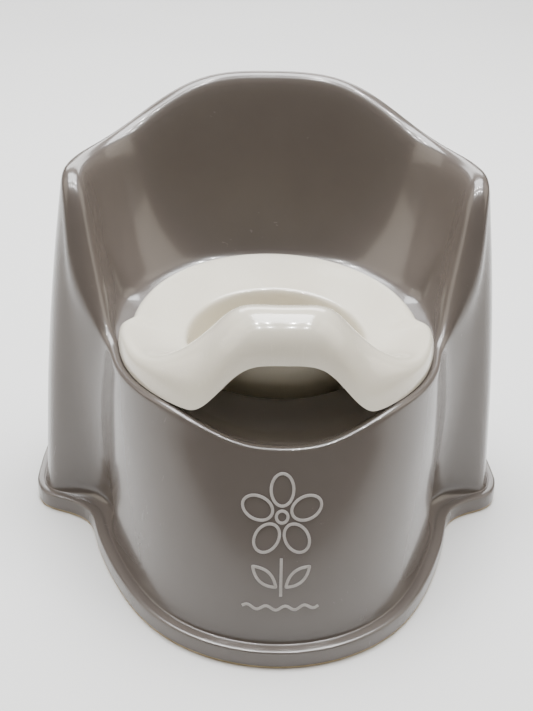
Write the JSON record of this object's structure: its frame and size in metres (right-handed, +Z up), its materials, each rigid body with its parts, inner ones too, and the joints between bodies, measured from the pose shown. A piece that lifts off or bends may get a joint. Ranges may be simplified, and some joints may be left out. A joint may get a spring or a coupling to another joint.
{
  "type": "potty training chair",
  "caption": "Low chair with high back and side wings, and a lift-out potty with a splash guard hanging in its seat.",
  "frame": {"origin": "centre of the base's bounding box, on the floor that the anti-slip strip stands on", "axes": "+Z up, -Y to the front where the splash guard is, +X to the right of someone who faces the front of the chair"},
  "size_m": [0.3514, 0.3583, 0.2933],
  "materials": {
    "shell_plastic": "high gloss moulded plastic, warm grey",
    "potty_plastic": "smooth gloss moulded plastic, white",
    "strip_rubber": "satin soft rubber, cream",
    "motif_ink": "printed ink, pale grey"
  },
  "bodies": {
    "chair": {"seat_shell": "shell_plastic", "base_strip": "strip_rubber", "front_motif": "motif_ink"},
    "potty": {"inner_potty": "potty_plastic"}
  },
  "joints": [
    {"name": "potty_lift", "type": "slide", "parent": "chair", "child": "potty", "axis": [0, 0, 1], "range_m": [0, 0.27]}
  ]
}
